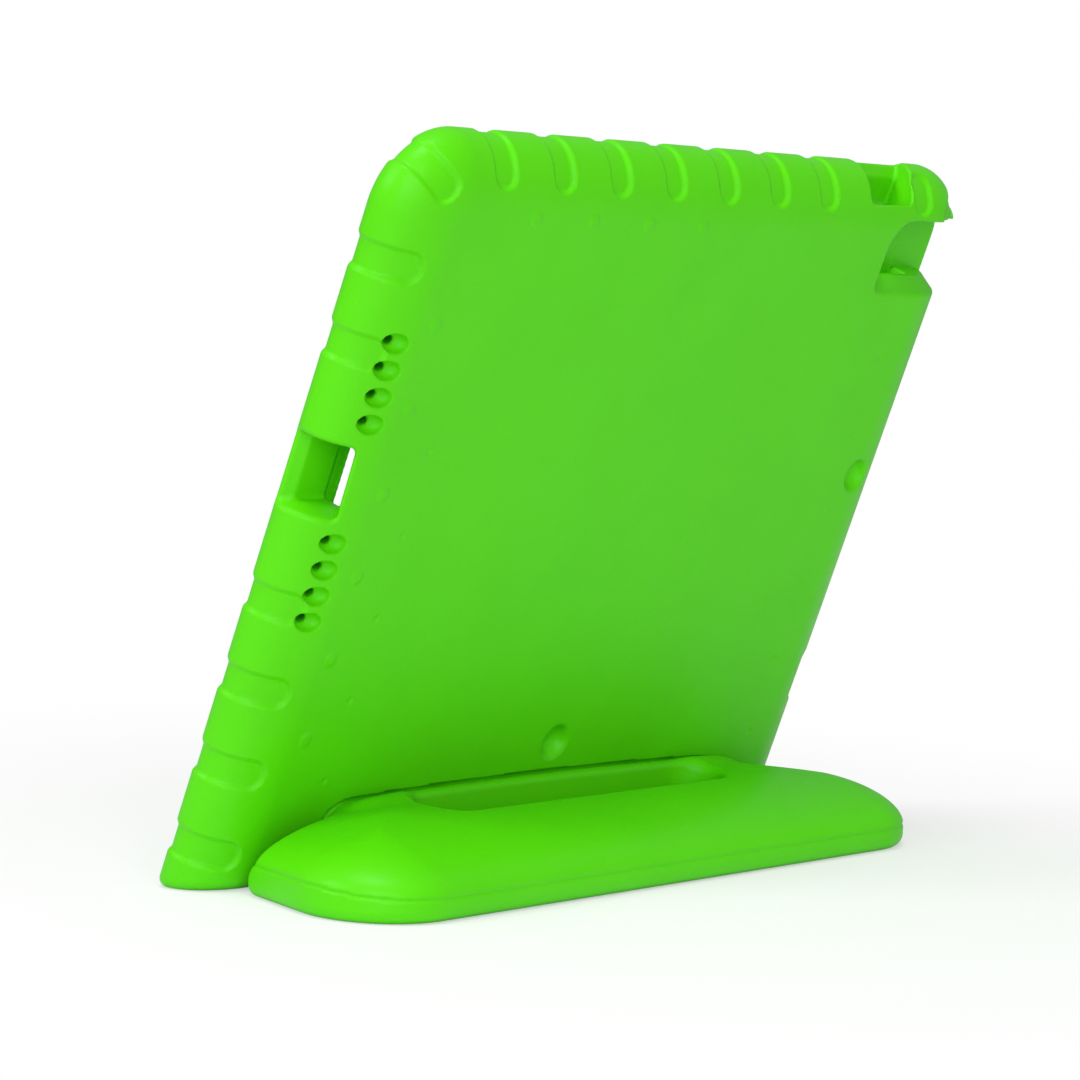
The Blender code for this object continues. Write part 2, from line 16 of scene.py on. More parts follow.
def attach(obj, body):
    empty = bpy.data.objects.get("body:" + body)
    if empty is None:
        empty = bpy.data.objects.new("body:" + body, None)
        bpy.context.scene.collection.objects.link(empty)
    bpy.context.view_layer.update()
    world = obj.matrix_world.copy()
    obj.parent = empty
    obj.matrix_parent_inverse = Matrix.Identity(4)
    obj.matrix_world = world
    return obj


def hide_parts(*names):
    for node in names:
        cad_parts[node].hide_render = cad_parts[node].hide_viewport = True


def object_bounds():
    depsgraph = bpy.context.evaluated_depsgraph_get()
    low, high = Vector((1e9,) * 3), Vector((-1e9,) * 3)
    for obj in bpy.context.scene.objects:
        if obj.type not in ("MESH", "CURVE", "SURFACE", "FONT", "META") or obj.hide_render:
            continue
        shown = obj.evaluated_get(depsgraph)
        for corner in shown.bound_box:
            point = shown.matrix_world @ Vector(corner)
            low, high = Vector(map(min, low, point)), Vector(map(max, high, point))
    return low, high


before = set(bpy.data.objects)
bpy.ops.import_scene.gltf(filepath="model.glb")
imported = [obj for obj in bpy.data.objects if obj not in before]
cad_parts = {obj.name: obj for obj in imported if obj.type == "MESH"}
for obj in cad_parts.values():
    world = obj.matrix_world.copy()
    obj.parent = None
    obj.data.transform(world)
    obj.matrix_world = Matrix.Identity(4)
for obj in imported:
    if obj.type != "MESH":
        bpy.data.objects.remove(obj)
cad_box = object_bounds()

# Sizes in millimetres: the tray, and the tablet that it is made for
TABLET_WIDTH = 240.0
TABLET_HEIGHT = 169.5
TABLET_THICKNESS = 7.5
TABLET_CORNER = 9.0
TABLET_CLEARANCE = 0.3
SIDE_WALL = 19.3
TOP_WALL = 19.3
CHIN_HEIGHT = 50.3
FRONT_LIP = 4.6
BACK_PANEL = 7.9
LIP_OVERLAP = 4.5
LIP_SLOPE = 2.4
LIP_EDGE = 1.2
POCKET_EDGE = 0.4
WINDOW_OVERRUN = 1.0
CASE_CORNER = 24.5
LEAN = math.radians(19.0)
FRONT_ROUND = 5.4
BACK_ROUND_ACROSS = 20.5
BACK_ROUND_DEEP = 14.0
FOOT_ROUND = 1.8
SOLE_ROUND = 3.6

# Grip grooves round the rim, counted down the sides and along the top from the left
GROOVE_PITCH = 26.2
GROOVE_WIDTH = 11.0
GROOVE_DEPTH = 1.3
GROOVE_FRONT_SHARE = 0.65
GROOVE_GROWTH = 14.0
GROOVE_SLOPE = 2.1
GROOVE_ON_FRONT = 3.0
GROOVE_ON_BACK = 13.6
GROOVE_ON_BACK_RIGHT = 6.8
GROOVE_AT_SPEAKERS = 10.2
SIDE_GROOVE_FIRST = 38.0
TOP_GROOVE_FIRST = 37.5
SIDE_GROOVE_COUNT = 8
TOP_GROOVE_COUNT = 9
TOP_GROOVES = (0, 1, 2, 3, 4, 5, 6, 8)
BACK_ONLY_GROOVE = 8
BACK_ONLY_START = 4.0
LEFT_GROOVES = (0, 1, 4, 5, 6, 7)
RIGHT_GROOVES = (1, 2, 3, 4, 7)
SPEAKER_GROOVES = (1, 4)

# Openings through the rim: port on the left, jack on the right, volume buttons at the top
PORT_BELOW = 10.6
PORT_ABOVE = 11.6
JACK_START = 0.5
JACK_LENGTH = 17.0
VOLUME_START = 78.6
VOLUME_END = 107.4
VOLUME_END_LEAN = 0.5
STEEP_TAPER = 0.8
JACK_TAPER = 3.4
VOLUME_TAPER = 1.6
PORT_TAPER = 1.7
OPENING_BRINK = 9.6
BRINK_LEAN = 0.03
OPENING_FLOOR = 8.0
OPENING_EDGE = 1.1
PORT_EDGE = 1.6
OPENING_CORNER = 1.2
OPENING_END_ROUND = 1.8
OPENING_OVERRUN = 2.0
STEP_START = (0.7, 1.2)
STEP_TOP = (5.4, FRONT_LIP)
STEP_EDGE = 0.3

# Notch for the tablet's camera, with slopes round it on the back
CAMERA_ABOVE_TABLET = 4.5
CAMERA_HEIGHT = 20.3
CAMERA_REACH = 24.4
CAMERA_ROUND = 3.5
CAMERA_TOP_ROUND = 11.0
CAMERA_SLOPE = 4.6
CAMERA_SLOPE_DEEP = 6.0
CAMERA_SLOPE_LIMIT = 1.5
CAMERA_SIDE_SHARE = 0.6
CAMERA_EDGE = 0.7

# Speaker holes on both sides of the port, counted away from its middle
SPEAKER_COUNT = 4
SPEAKER_ABOVE_MIDDLE = 0.95
SPEAKER_FIRST = 18.4
SPEAKER_PITCH = 8.2
SPEAKER_BORE = 2.9
SPEAKER_INSET = 9.3
BOWL_INSET = 11.7
BOWL_SIZE = (4.3, 2.9, 3.4)
BORE_ABOVE_LIP = 0.8
BORE_OVERRUN = 1.5
BOWL_FILLET = 0.8
SPEAKER_EDGE = 0.6

# Dimples in the back: at the tablet's right edge and just below the tablet
DIMPLE_MOUTH = 12.0
DIMPLE_BORE = 6.0
DIMPLE_SINK = 4.0
DIMPLE_BESIDE_TABLET = 0.2
DIMPLE_BELOW_TABLET = 4.8
DIMPLE_ACROSS = 5.0
DIMPLE_FLOOR_ROUND = 1.5
DIMPLE_EDGE = 0.8

# Handle: the domed plate, the neck that joins it to the tray, and the finger slot
HANDLE_REACH = 91.0
HANDLE_HALF_WIDTH = 137.4
HANDLE_CORNER = 27.3
HANDLE_TAPER = math.radians(17.5)
HANDLE_FRONT_GAP = 5.8
HANDLE_TIP_ROUND = 2.8
HANDLE_RIM = 6.8
HANDLE_RIM_RISE = 2.4
HANDLE_RIM_RUN = 36.0
HANDLE_TOP = 27.2
HANDLE_CROWN_RUN = 80.0
HANDLE_SOLE_ROUND = 4.0
HANDLE_LEAN_FROM = 5.0
HANDLE_LEAN_OVER = 6.0
PARTING_ABOVE_RIM = 0.4
PARTING_HALF_WIDTH = 0.9
PARTING_DEPTH = 0.45
NECK_HALF_WIDTH = 96.0
NECK_END_LOW = 19.5
NECK_END_SLOPE = 1.1
NECK_HEIGHT = 26.3
NECK_CROWN = 2.1
NECK_UNDERCUT = 2.0
NECK_CORNER = 6.0
NECK_EDGE = 2.0
NECK_OVER_SLOT = 2.0
NECK_FILLET = 7.0
SLOT_LENGTH = 142.0
SLOT_WIDTH = 20.0
SLOT_FROM_PANEL = 25.3
SLOT_NEAR_ROUND = 2.0
SLOT_FAR_ROUND = 4.5
CREASE_RADIUS = 1.15

# Rows of faint round marks of the mould on the back, raised or sunk: the line that a row
# keeps to, its first mark along that line, and how the marks repeat
MARK_EDGE = 1.7
LEFT_BOSSES = {"line": -115.0, "first": 55.5, "pitch": 26.0, "count": 6, "radius": 2.9,
               "height": 0.3}
LEFT_PINS = {"line": -100.6, "first": 41.0, "pitch": 26.3, "count": 5, "radius": 1.7,
             "height": -0.3}
RIGHT_PINS = {"line": 110.0, "first": 41.3, "pitch": 27.1, "count": 6, "radius": 1.7,
              "height": -0.3}
TOP_BOSSES = {"line": 218.4, "first": -86.1, "pitch": 26.2, "count": 4, "radius": 2.9,
              "height": 0.3}

# Worked out from the above
HALF_WIDTH = TABLET_WIDTH / 2 + SIDE_WALL
CASE_HEIGHT = CHIN_HEIGHT + TABLET_HEIGHT + TOP_WALL
CASE_DEPTH = FRONT_LIP + TABLET_THICKNESS + BACK_PANEL
BACK_START = CASE_DEPTH - BACK_ROUND_DEEP
BEHIND_TABLET = FRONT_LIP + TABLET_THICKNESS
TABLET_MIDDLE = CHIN_HEIGHT + TABLET_HEIGHT / 2
TABLET_TOP = CHIN_HEIGHT + TABLET_HEIGHT
PANEL_FOOT = CASE_DEPTH / math.cos(LEAN)
SLOT_BEHIND_FRONT = PANEL_FOOT + SLOT_FROM_PANEL


def furthest_back():
    """Distance from the front foot to the rearmost point of the leaning top edge."""
    up = (CASE_HEIGHT - BACK_ROUND_ACROSS) * math.sin(LEAN)
    deep = (CASE_DEPTH - BACK_ROUND_DEEP) * math.cos(LEAN)
    return up + deep + math.hypot(BACK_ROUND_ACROSS * math.sin(LEAN),
                                  BACK_ROUND_DEEP * math.cos(LEAN))


# The front foot stands this far in front of the origin, the middle of the whole footprint
FRONT_Y = (max(furthest_back(), HANDLE_REACH) + FOOT_ROUND * math.sin(LEAN)) / 2

# The mesh
METRE = 1000
MILLIMETRE = 0.001
GRID_STEP = 0.75
SLAB_PLANES = 12
TRIANGLE_BUDGET = 188000
POLISH_STEPS = 2
PROBE = 0.04
LONGEST_MOVE = 0.4
LEAST_STEEPNESS = 0.05
FLAT_AREA = 2.0
FLAT_AREA_SPAN = 4.0

# The photograph's camera
CAMERA_HEADING = math.radians(50.78)
CAMERA_DOWN = math.radians(4.68)
CAMERA_ROLL = math.radians(3.02)
CAMERA_DISTANCE = 1191.38
CAMERA_AIM = (-7.36, 1.13, 90.0)
CAMERA_SIDESTEP = -8.63
CAMERA_LIFT = 11.84
SENSOR_WIDTH = 36.0
FOCAL_LENGTH = 128.215
CLIP_METRES = (0.05, 80.0)

# Foam: two close greens, satin gloss, and noise scales per metre
FOAM_DARK = (0.086, 0.612, 0.002, 1.0)
FOAM_LIGHT = (0.091, 0.640, 0.002, 1.0)
FOAM_SPECULAR = 0.17
FOAM_ROUGHNESS = (0.34, 0.44)
FLECK_SHARE = 0.35
MOTTLE_SCALE = 28.0
FLECK_SCALE = 900.0
GLOSS_SCALE = 160.0
GRAIN_SCALE = 1500.0
SWELL_SCALE = 70.0
GRAIN_METRES = 0.00006
GRAIN_STRENGTH = 0.5
SWELL_METRES = 0.0002
SWELL_STRENGTH = 0.4

# Studio, in metres and watts
BACKDROP = (1.0, 1.0, 1.0, 1.0)
SKY_LIGHT = (0.38, 0.38, 0.38, 1.0)
FLOOR_RADIUS = 30.0
FLOOR_PAINT = (0.90, 0.90, 0.90, 1.0)
FLOOR_FADE_FROM = 0.06
FLOOR_FADE_TO = 0.42
FLOOR_LEAST_GLOW = 0.45
LAMP_AIM_HEIGHT = 0.1


def round_union(a, b, radius):
    """Both bodies, with a fillet where they meet."""
    near = np.hypot(np.maximum(radius - a, 0), np.maximum(radius - b, 0))
    return np.maximum(radius, np.minimum(a, b)) - near


def round_both(a, b, radius):
    """What both bodies share, with its edge rounded."""
    near = np.hypot(np.maximum(a + radius, 0), np.maximum(b + radius, 0))
    return np.minimum(-radius, np.maximum(a, b)) + near


def round_cut(body, cutter, radius):
    """The body without the cutter, with the cut's edge rounded."""
    return round_both(body, -cutter, radius)


def smooth_step(share):
    """An even rise from 0 to 1 that is level at both ends."""
    share = np.clip(share, 0, 1)
    return share * share * (3 - 2 * share)


def rectangle(x, z, left, right, low, high, radius):
    """Distance in the plane from a rectangle with round corners."""
    dx = np.abs(x - (left + right) / 2) - (right - left) / 2 + radius
    dz = np.abs(z - (low + high) / 2) - (high - low) / 2 + radius
    outside = np.hypot(np.maximum(dx, 0), np.maximum(dz, 0))
    return outside + np.minimum(np.maximum(dx, dz), 0) - radius


def ellipse(x, y, a, b):
    """Distance in the plane from an ellipse about the origin, true near its edge."""
    u, v = x / a, y / b
    size = np.hypot(u, v)
    return size * (size - 1) / (np.hypot(u / a, v / b) + 1e-6)


def ellipsoid(p, q, t, sizes):
    """Distance from an ellipsoid about the origin, true near its surface."""
    a, b, c = sizes
    size = np.sqrt((p / a) ** 2 + (q / b) ** 2 + (t / c) ** 2)
    steepness = np.sqrt((p / a ** 2) ** 2 + (q / b ** 2) ** 2 + (t / c ** 2) ** 2) + 1e-6
    return size * (size - 1) / steepness


def panel_frame(y, z):
    """Rise up the leaning panel, and depth behind its front face."""
    back = FRONT_Y - y
    return (back * math.sin(LEAN) + z * math.cos(LEAN),
            back * math.cos(LEAN) - z * math.sin(LEAN))


def rim_inset(x, rise):
    """Distance in from the tray's outline, which has round top corners."""
    dx = np.abs(x) - (HALF_WIDTH - CASE_CORNER)
    dz = rise - (CASE_HEIGHT - CASE_CORNER)
    outside = np.hypot(np.maximum(dx, 0), np.maximum(dz, 0))
    return CASE_CORNER - outside - np.minimum(np.maximum(dx, dz), 0)


def tray_skin(inset, depth):
    """Distance from the rim's section: small front round, flat wall, long back round."""
    across = BACK_ROUND_ACROSS - inset
    deep = depth - BACK_START
    over_back = ellipse(across, deep, BACK_ROUND_ACROSS, BACK_ROUND_DEEP)
    back = np.where(across > 0, over_back, depth - CASE_DEPTH)
    side = np.where(deep > 0, back, -inset)
    return np.maximum(side, round_both(-inset, -depth, FRONT_ROUND))


# Length of the skin over the back round, by angle
ROUND_ANGLES = np.linspace(0, math.pi / 2, 181)
ROUND_STEPS = np.hypot(np.diff(BACK_ROUND_ACROSS * np.cos(ROUND_ANGLES)),
                       np.diff(BACK_ROUND_DEEP * np.sin(ROUND_ANGLES)))
ROUND_RUNS = np.concatenate(([0.0], np.cumsum(ROUND_STEPS)))


def rim_run(inset, depth):
    """Distance over the rim's skin from the start of the back round, positive to the back."""
    across = BACK_ROUND_ACROSS - inset
    deep = depth - BACK_START
    angle = np.arctan2(deep / BACK_ROUND_DEEP, np.maximum(across, 0) / BACK_ROUND_ACROSS)
    over_back = np.interp(angle, ROUND_ANGLES, ROUND_RUNS) + np.maximum(-across, 0)
    turn = np.clip(np.arctan2(FRONT_ROUND - depth, FRONT_ROUND - inset), 0, math.pi / 2)
    over_front = (FRONT_ROUND - BACK_START - FRONT_ROUND * turn
                  - np.maximum(inset - FRONT_ROUND, 0))
    over_wall = np.where(depth > FRONT_ROUND, deep, over_front)
    return np.where(deep > 0, over_back, over_wall)


def run_at_back(inset):
    """Run over the rim of a point on the back round, by its inset."""
    return np.interp(math.acos(1 - inset / BACK_ROUND_ACROSS), ROUND_ANGLES, ROUND_RUNS)


# Where the grooves start and end, as runs over the rim's skin
GROOVE_START = FRONT_ROUND - BACK_START - FRONT_ROUND * math.pi / 2 - GROOVE_ON_FRONT
NO_GROOVE = GROOVE_START - 4 * GROOVE_WIDTH


def groove_ends(count, indices, on_back):
    """Where each place along a side has its groove's back end, or that it has none."""
    ends = np.full(count, NO_GROOVE)
    for index in indices:
        ends[index] = run_at_back(on_back)
    return ends


LEFT_ENDS = groove_ends(SIDE_GROOVE_COUNT, LEFT_GROOVES, GROOVE_ON_BACK)
LEFT_ENDS[list(SPEAKER_GROOVES)] = run_at_back(GROOVE_AT_SPEAKERS)
RIGHT_ENDS = groove_ends(SIDE_GROOVE_COUNT, RIGHT_GROOVES, GROOVE_ON_BACK_RIGHT)
TOP_ENDS = groove_ends(TOP_GROOVE_COUNT, TOP_GROOVES, GROOVE_ON_BACK)
TOP_STARTS = np.full(TOP_GROOVE_COUNT, GROOVE_START)
TOP_STARTS[BACK_ONLY_GROOVE] = BACK_ONLY_START


def groove(run, across, last, first=GROOVE_START):
    """Share of a groove's depth, from 0 outside it to 1 on its floor, with round ends.

    It runs over the rim from first to last.
    """
    half = GROOVE_WIDTH / 2
    beyond = np.maximum(np.maximum(first + half - run, run - last + half), 0)
    return smooth_step((half - np.hypot(beyond, across)) / GROOVE_SLOPE)


def grip_grooves(x, rise, inset, depth):
    """How far the grooves sink the skin: down the sides, along the top and on the corners."""
    run = rim_run(inset, depth)
    first = CASE_HEIGHT - SIDE_GROOVE_FIRST
    place = np.clip(np.rint((first - rise) / GROOVE_PITCH), 0, SIDE_GROOVE_COUNT - 1)
    index = place.astype(np.int32)
    last = np.where(x < 0, LEFT_ENDS[index], RIGHT_ENDS[index])
    deepest = groove(run, rise - first + place * GROOVE_PITCH, last)
    first = TOP_GROOVE_FIRST - HALF_WIDTH
    place = np.clip(np.rint((x - first) / GROOVE_PITCH), 0, TOP_GROOVE_COUNT - 1)
    index = place.astype(np.int32)
    on_top = groove(run, x - first - place * GROOVE_PITCH, TOP_ENDS[index], TOP_STARTS[index])
    deepest = np.maximum(deepest, np.where(rise > CASE_HEIGHT - CASE_CORNER, on_top, 0))
    over = np.abs(x) - (HALF_WIDTH - CASE_CORNER)
    up = rise - (CASE_HEIGHT - CASE_CORNER)
    on_corner = groove(run, (up - over) * math.sqrt(0.5), run_at_back(GROOVE_ON_BACK))
    deepest = np.maximum(deepest, np.where(over + up > 0, on_corner, 0))
    growth = smooth_step(run / GROOVE_GROWTH)
    return deepest * GROOVE_DEPTH * (GROOVE_FRONT_SHARE + (1 - GROOVE_FRONT_SHARE) * growth)


def on_back_round(inset):
    """Depth of the back round at an inset, and its outward normal as (inset, depth)."""
    angle = math.acos(1 - inset / BACK_ROUND_ACROSS)
    depth = BACK_START + BACK_ROUND_DEEP * math.sin(angle)
    across = BACK_ROUND_DEEP * math.cos(angle)
    deep = BACK_ROUND_ACROSS * math.sin(angle)
    size = math.hypot(across, deep)
    return depth, (-across / size, deep / size)


def mark(distance, radius, height):
    """Height of one round mark at a distance from its middle."""
    return height * smooth_step((radius - distance) / MARK_EDGE)


def mark_row(along, across, row):
    """Height of the marks in a row."""
    place = np.clip(np.rint((along - row["first"]) / row["pitch"]), 0, row["count"] - 1)
    distance = np.hypot(across - row["line"], along - row["first"] - place * row["pitch"])
    return mark(distance, row["radius"], row["height"])


def mould_marks(x, rise, depth):
    """Height of all the marks, on the back alone."""
    height = mark_row(rise, x, LEFT_BOSSES)
    height = height + mark_row(rise, x, LEFT_PINS) + mark_row(rise, x, RIGHT_PINS)
    height = height + mark_row(x, rise, TOP_BOSSES)
    return np.where(depth > BEHIND_TABLET, height, 0)


def tablet_pocket(x, rise, depth):
    """Empty space that the tablet slips into."""
    half = TABLET_WIDTH / 2 + TABLET_CLEARANCE
    plan = rectangle(x, rise, -half, half, CHIN_HEIGHT - TABLET_CLEARANCE,
                     TABLET_TOP + TABLET_CLEARANCE, TABLET_CORNER)
    return np.maximum(plan, np.maximum(FRONT_LIP - depth, depth - BEHIND_TABLET))


def screen_opening(x, rise, depth):
    """Window in the front lip, wider at the front."""
    spread = LIP_SLOPE * (1 - depth / FRONT_LIP)
    half = TABLET_WIDTH / 2 - LIP_OVERLAP
    plan = rectangle(x, rise, -half, half, CHIN_HEIGHT + LIP_OVERLAP, TABLET_TOP - LIP_OVERLAP,
                     TABLET_CORNER - LIP_OVERLAP)
    return np.maximum(plan - spread, depth - BEHIND_TABLET + WINDOW_OVERRUN)


BRINK_DEPTH = on_back_round(OPENING_BRINK)[0]


def rim_opening(inset, depth, under, across, low, high, low_taper, high_taper):
    """Opening through the rim into the pocket, open to the back as far in as the brink.

    under is the depth below the rim's skin. The ends slope inwards by the two tapers.
    """
    ramp = (STEP_TOP[0] - STEP_START[0], STEP_TOP[1] - STEP_START[1])
    over_ramp = (inset - STEP_START[0]) * ramp[1] - (depth - STEP_START[1]) * ramp[0]
    lip = round_union(FRONT_LIP - depth, over_ramp / math.hypot(*ramp), STEP_EDGE)
    reach = SIDE_WALL + OPENING_OVERRUN
    brink = OPENING_BRINK - BRINK_LEAN * (across - (low + high) / 2)
    fall = (reach - OPENING_BRINK, CASE_DEPTH - BEHIND_TABLET)
    behind = ((inset - brink) * fall[1] + (depth - BRINK_DEPTH) * fall[0]) / math.hypot(*fall)
    sunk = smooth_step(under / OPENING_FLOOR)
    low_end = (low + low_taper * sunk - across) / math.hypot(1, low_taper / OPENING_FLOOR)
    high_end = (across - high + high_taper * sunk) / math.hypot(1, high_taper / OPENING_FLOOR)
    section = np.maximum(round_both(lip, behind, OPENING_CORNER), inset - reach)
    ends = round_both(low_end, high_end, OPENING_CORNER)
    return round_both(section, ends, OPENING_END_ROUND)


def camera_notch(x, rise, depth, under):
    """Notch for the camera and the power button, open to the back and to the right."""
    left = TABLET_WIDTH / 2 - CAMERA_REACH
    top = TABLET_TOP + CAMERA_ABOVE_TABLET
    spread = CAMERA_SLOPE * np.clip(1 - under / CAMERA_SLOPE_DEEP, 0, CAMERA_SLOPE_LIMIT)
    side = left - spread * CAMERA_SIDE_SHARE
    plan = rectangle(x, rise, side, HALF_WIDTH + CAMERA_ROUND * 4,
                     top - CAMERA_HEIGHT - spread, top, CAMERA_ROUND)
    corner = np.hypot(np.maximum(side + CAMERA_TOP_ROUND - x, 0),
                      np.maximum(rise - top + CAMERA_TOP_ROUND, 0)) - CAMERA_TOP_ROUND
    return np.maximum(np.maximum(plan, corner), FRONT_LIP - depth)


def speaker_holes(x, rise, depth):
    """Bores into the pocket beside the port, each with a shallow bowl round its mouth."""
    inset = x + HALF_WIDTH
    from_middle = np.abs(rise - TABLET_MIDDLE - SPEAKER_ABOVE_MIDDLE)
    place = np.clip(np.rint((from_middle - SPEAKER_FIRST) / SPEAKER_PITCH), 0, SPEAKER_COUNT - 1)
    along_rim = from_middle - SPEAKER_FIRST - place * SPEAKER_PITCH
    mouth_depth = on_back_round(SPEAKER_INSET)[0]
    aim = (SIDE_WALL - SPEAKER_INSET, FRONT_LIP + BORE_ABOVE_LIP - mouth_depth)
    length = math.hypot(*aim)
    aim = (aim[0] / length, aim[1] / length)
    p, q = inset - SPEAKER_INSET, depth - mouth_depth
    off_axis = p * aim[1] - q * aim[0]
    bore = np.hypot(off_axis, along_rim) - SPEAKER_BORE / 2
    bore = np.maximum(bore, p * aim[0] + q * aim[1] - length - BORE_OVERRUN)
    bowl_depth, out = on_back_round(BOWL_INSET)
    p, q = inset - BOWL_INSET, depth - bowl_depth
    bowl = ellipsoid(p * out[1] - q * out[0], along_rim, p * out[0] + q * out[1], BOWL_SIZE)
    return round_union(bore, bowl, BOWL_FILLET)


def dimple(x, rise, depth, centre):
    """Round sink in the back, with sloped sides and a domed floor."""
    radial = np.hypot(x - centre[0], rise - centre[1])
    sunk = CASE_DEPTH - depth
    slope = (DIMPLE_MOUTH - DIMPLE_BORE) / 2 / DIMPLE_SINK
    side = (radial - DIMPLE_MOUTH / 2 + sunk * slope) / math.hypot(1, slope)
    return round_both(side, sunk - DIMPLE_SINK, DIMPLE_FLOOR_ROUND)


def handle_plate(x, y, z):
    """Domed D-shaped plate that lies on the ground."""
    over = np.abs(x) - (HANDLE_HALF_WIDTH - HANDLE_CORNER)
    back = FRONT_Y - HANDLE_REACH + HANDLE_CORNER - y
    slant = over * math.cos(HANDLE_TAPER) - back * math.sin(HANDLE_TAPER)
    past_slant = over * math.sin(HANDLE_TAPER) + back * math.cos(HANDLE_TAPER)
    edge = np.where((over > 0) & (past_slant > 0), np.hypot(over, back),
                    np.maximum(back, slant)) - HANDLE_CORNER
    front = ((y - (FRONT_Y - PANEL_FOOT - HANDLE_FRONT_GAP)) * math.cos(LEAN)
             + z * math.sin(LEAN) * smooth_step((z - HANDLE_LEAN_FROM) / HANDLE_LEAN_OVER))
    forward = y - FRONT_Y + HANDLE_REACH
    rim = HANDLE_RIM + HANDLE_RIM_RISE * smooth_step(forward / HANDLE_RIM_RUN)
    up = z - rim
    crown = ellipse(HANDLE_CROWN_RUN + edge, up, HANDLE_CROWN_RUN, HANDLE_TOP - rim)
    crown = np.where(up > 0, crown, edge)
    from_line = np.abs(up - PARTING_ABOVE_RIM) / PARTING_HALF_WIDTH
    crown = crown + PARTING_DEPTH * smooth_step(1 - from_line)
    plate = round_both(crown, front, HANDLE_TIP_ROUND)
    return round_both(plate, -z, HANDLE_SOLE_ROUND)


def handle_neck(x, y, z):
    """Bridge from the plate into the tray's back, crowned and clear of the ground."""
    beyond = np.abs(x) - NECK_HALF_WIDTH
    back = FRONT_Y - SLOT_BEHIND_FRONT + SLOT_WIDTH / 2 - NECK_OVER_SLOT - y
    corner = (beyond + back + NECK_CORNER) * math.sqrt(0.5)
    side = round_both(beyond, np.maximum(back, corner), NECK_EDGE)
    top = z - NECK_HEIGHT + NECK_CROWN * (x / NECK_HALF_WIDTH) ** 2
    end = (beyond + (z - NECK_END_LOW) * NECK_END_SLOPE) / math.hypot(1, NECK_END_SLOPE)
    body = round_both(side, round_both(top, end, NECK_EDGE), NECK_EDGE)
    into_tray = y - (FRONT_Y - PANEL_FOOT / 2) + z * math.tan(LEAN)
    return np.maximum(np.maximum(body, NECK_UNDERCUT - z), into_tray)


def finger_slot(x, y):
    """Upright slot through the handle, for the fingers."""
    radius = SLOT_WIDTH / 2
    beyond = np.maximum(np.abs(x) - (SLOT_LENGTH / 2 - radius), 0)
    return np.hypot(beyond, y - (FRONT_Y - SLOT_BEHIND_FRONT)) - radius


def tray(x, y, z):
    """The leaning shell that holds the tablet."""
    rise, depth = panel_frame(y, z)
    inset = rim_inset(x, rise)
    skin = tray_skin(inset, depth)
    body = skin + grip_grooves(x, rise, inset, depth) - mould_marks(x, rise, depth)
    body = round_both(body, -z, SOLE_ROUND)
    body = round_cut(body, tablet_pocket(x, rise, depth), POCKET_EDGE)
    body = round_cut(body, screen_opening(x, rise, depth), LIP_EDGE)
    right, top = HALF_WIDTH - x, CASE_HEIGHT - rise
    if x.min() < -HALF_WIDTH / 2:
        port = rim_opening(x + HALF_WIDTH, depth, -skin, rise, TABLET_MIDDLE - PORT_BELOW,
                           TABLET_MIDDLE + PORT_ABOVE, PORT_TAPER, STEEP_TAPER)
        body = round_cut(body, port, PORT_EDGE)
        body = round_cut(body, speaker_holes(x, rise, depth), SPEAKER_EDGE)
    if x.max() > HALF_WIDTH / 2:
        start = CHIN_HEIGHT + JACK_START
        jack = rim_opening(right, depth, -skin, rise, start, start + JACK_LENGTH,
                           JACK_TAPER, JACK_TAPER)
        body = round_cut(body, jack, OPENING_EDGE)
        end = VOLUME_END - VOLUME_END_LEAN * (depth - FRONT_LIP)
        volume = rim_opening(top, depth, -skin, x, VOLUME_START, end,
                             STEEP_TAPER, VOLUME_TAPER)
        body = round_cut(body, volume, OPENING_EDGE)
        body = round_cut(body, camera_notch(x, rise, depth, -skin), CAMERA_EDGE)
    for centre in ((TABLET_WIDTH / 2 + DIMPLE_BESIDE_TABLET, TABLET_MIDDLE),
                   (DIMPLE_ACROSS, CHIN_HEIGHT - DIMPLE_BELOW_TABLET)):
        body = round_cut(body, dimple(x, rise, depth, centre), DIMPLE_EDGE)
    return body


def moulding(x, y, z):
    """The whole case."""
    handle = round_union(handle_plate(x, y, z), handle_neck(x, y, z), NECK_FILLET)
    far = smooth_step((y - FRONT_Y + SLOT_BEHIND_FRONT + SLOT_WIDTH / 2) / SLOT_WIDTH)
    edge = SLOT_NEAR_ROUND + (SLOT_FAR_ROUND - SLOT_NEAR_ROUND) * far
    handle = round_cut(handle, finger_slot(x, y), edge)
    upright = tray(x, y, z)
    crease = CREASE_RADIUS - np.hypot(upright, handle)
    return np.maximum(np.maximum(np.minimum(upright, handle), crease), -z)


def sample_grid():
    """The field on a grid that just holds the CAD box."""
    low, high = (np.array(corner) * METRE for corner in cad_box)
    counts = np.ceil((high - low) / GRID_STEP).astype(int) + 4
    start = (low + high - (counts - 1) * GRID_STEP) / 2
    axes = [(start[i] + GRID_STEP * np.arange(counts[i])).astype(np.float32) for i in range(3)]
    values = np.empty(counts, np.float32)
    for first in range(0, counts[0], SLAB_PLANES):
        x = axes[0][first:first + SLAB_PLANES, None, None]
        values[first:first + SLAB_PLANES] = moulding(x, axes[1][None, :, None],
                                                     axes[2][None, None, :])
    return start, values


